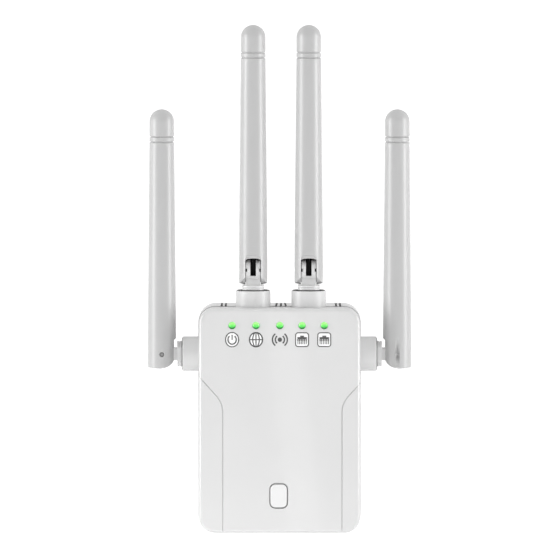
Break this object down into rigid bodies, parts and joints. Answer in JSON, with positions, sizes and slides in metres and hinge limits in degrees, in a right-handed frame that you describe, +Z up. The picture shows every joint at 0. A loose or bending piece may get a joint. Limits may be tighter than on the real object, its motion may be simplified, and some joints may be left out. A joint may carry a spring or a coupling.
{
  "type": "wifi range extender",
  "caption": "Upright plug-in wifi range extender with hinged whip antennas, indicator lamps, a push button and network sockets.",
  "frame": {"origin": "on the casing's flat back, midway between the two plug blades, where it meets the wall outlet", "axes": "+Y into the wall along the plug blades, -Y towards the room, +Z up, +X to the right seen from the front"},
  "size_m": [0.093, 0.0465, 0.1791],
  "materials": {
    "cover_abs": "glossy moulded ABS",
    "shell_abs": "glossy moulded ABS",
    "button_abs": "glossy moulded ABS",
    "hinge_plastic": "moulded nylon, low gloss",
    "sleeve_plastic": "moulded thermoplastic elastomer, soft gloss",
    "lens_polycarbonate": "clear green polycarbonate, polished, lit",
    "black_plastic": "moulded, matt",
    "black_rubber": "cut sheet, matt",
    "lead_jacket": "extruded jacket, satin",
    "circuit_board": "solder mask, satin",
    "winding_tape": "polyester tape",
    "capacitor_sleeve": "shrink sleeve, satin",
    "blank_label": "blank paper label, matt",
    "tin_plate": "bright rolled",
    "steel": "zinc plated, satin",
    "plated_brass": "nickel plated, bright",
    "bare_brass": "bare, satin"
  },
  "bodies": {
    "casing": {"front_cover": "cover_abs", "rear_shell": "shell_abs", "led_lens_power": "lens_polycarbonate", "led_lens_internet": "lens_polycarbonate", "led_lens_wireless": "lens_polycarbonate", "led_lens_wan": "lens_polycarbonate", "led_lens_lan": "lens_polycarbonate", "main_board": "circuit_board", "processor": "black_plastic", "radio_shield": "tin_plate", "lan_transformer": "black_plastic", "power_board": "circuit_board", "transformer": "winding_tape", "bulk_capacitor": "capacitor_sleeve", "output_capacitor": "capacitor_sleeve", "rectifier": "black_plastic", "board_header": "black_plastic", "wps_switch": "black_plastic", "reset_switch": "black_plastic", "rj45_jack_wan": "black_plastic", "rj45_jack_lan": "black_plastic", "plug_blade_left": "plated_brass", "plug_blade_right": "plated_brass", "casing_screw_1": "steel", "casing_screw_2": "steel", "casing_screw_3": "steel", "casing_screw_4": "steel", "rating_label": "blank_label", "antenna_upper_left_washer": "black_rubber", "antenna_upper_right_washer": "black_rubber", "antenna_side_left_washer": "black_rubber", "antenna_side_right_washer": "black_rubber", "antenna_upper_left_lead": "lead_jacket", "antenna_upper_right_lead": "lead_jacket", "antenna_side_left_lead": "lead_jacket", "antenna_side_right_lead": "lead_jacket"},
    "wps_button": {"wps_button": "button_abs", "wps_switch_stem": "black_plastic"},
    "reset_plunger": {"reset_plunger": "black_plastic"},
    "antenna_upper_left_swivel": {"antenna_upper_left_base": "hinge_plastic", "antenna_upper_left_pin_left": "steel", "antenna_upper_left_pin_right": "steel"},
    "antenna_upper_left_whip": {"antenna_upper_left_sleeve": "sleeve_plastic", "antenna_upper_left_radiator": "bare_brass"},
    "antenna_upper_right_swivel": {"antenna_upper_right_base": "hinge_plastic", "antenna_upper_right_pin_left": "steel", "antenna_upper_right_pin_right": "steel"},
    "antenna_upper_right_whip": {"antenna_upper_right_sleeve": "sleeve_plastic", "antenna_upper_right_radiator": "bare_brass"},
    "antenna_side_left_swivel": {"antenna_side_left_base": "hinge_plastic", "antenna_side_left_pin_left": "steel", "antenna_side_left_pin_right": "steel"},
    "antenna_side_left_whip": {"antenna_side_left_sleeve": "sleeve_plastic", "antenna_side_left_radiator": "bare_brass"},
    "antenna_side_right_swivel": {"antenna_side_right_base": "hinge_plastic", "antenna_side_right_pin_left": "steel", "antenna_side_right_pin_right": "steel"},
    "antenna_side_right_whip": {"antenna_side_right_sleeve": "sleeve_plastic", "antenna_side_right_radiator": "bare_brass"}
  },
  "joints": [
    {"name": "wps_button_press", "type": "slide", "parent": "casing", "child": "wps_button", "axis": [0, 1, 0], "range_m": [0, 0.0005], "stiffness_N_per_m": 2000, "springref_m": -0.0005},
    {"name": "reset_plunger_press", "type": "slide", "parent": "casing", "child": "reset_plunger", "axis": [1, 0, 0], "range_m": [0, 0.0003], "stiffness_N_per_m": 2000, "springref_m": -0.0005},
    {"name": "antenna_upper_left_turn", "type": "hinge", "parent": "casing", "child": "antenna_upper_left_swivel", "pos_m": [-0.0093, -0.02, 0.0455], "axis": [0, 0, -1], "range_deg": [-90, 90]},
    {"name": "antenna_upper_left_fold", "type": "hinge", "parent": "antenna_upper_left_swivel", "child": "antenna_upper_left_whip", "pos_m": [-0.0093, -0.02, 0.0528], "axis": [1, 0, 0], "range_deg": [0, 90]},
    {"name": "antenna_upper_right_turn", "type": "hinge", "parent": "casing", "child": "antenna_upper_right_swivel", "pos_m": [0.0103, -0.02, 0.0455], "axis": [0, 0, 1], "range_deg": [-90, 90]},
    {"name": "antenna_upper_right_fold", "type": "hinge", "parent": "antenna_upper_right_swivel", "child": "antenna_upper_right_whip", "pos_m": [0.0103, -0.02, 0.0528], "axis": [1, 0, 0], "range_deg": [0, 90]},
    {"name": "antenna_side_left_turn", "type": "hinge", "parent": "casing", "child": "antenna_side_left_swivel", "pos_m": [-0.0342, -0.02, 0.0231], "axis": [1, 0, 0], "range_deg": [0, 180]},
    {"name": "antenna_side_left_fold", "type": "hinge", "parent": "antenna_side_left_swivel", "child": "antenna_side_left_whip", "pos_m": [-0.0415, -0.02, 0.0231], "axis": [0, -1, 0], "range_deg": [0, 90]},
    {"name": "antenna_side_right_turn", "type": "hinge", "parent": "casing", "child": "antenna_side_right_swivel", "pos_m": [0.0342, -0.02, 0.0231], "axis": [1, 0, 0], "range_deg": [0, 180]},
    {"name": "antenna_side_right_fold", "type": "hinge", "parent": "antenna_side_right_swivel", "child": "antenna_side_right_whip", "pos_m": [0.0415, -0.02, 0.0231], "axis": [0, 1, 0], "range_deg": [0, 90]}
  ]
}
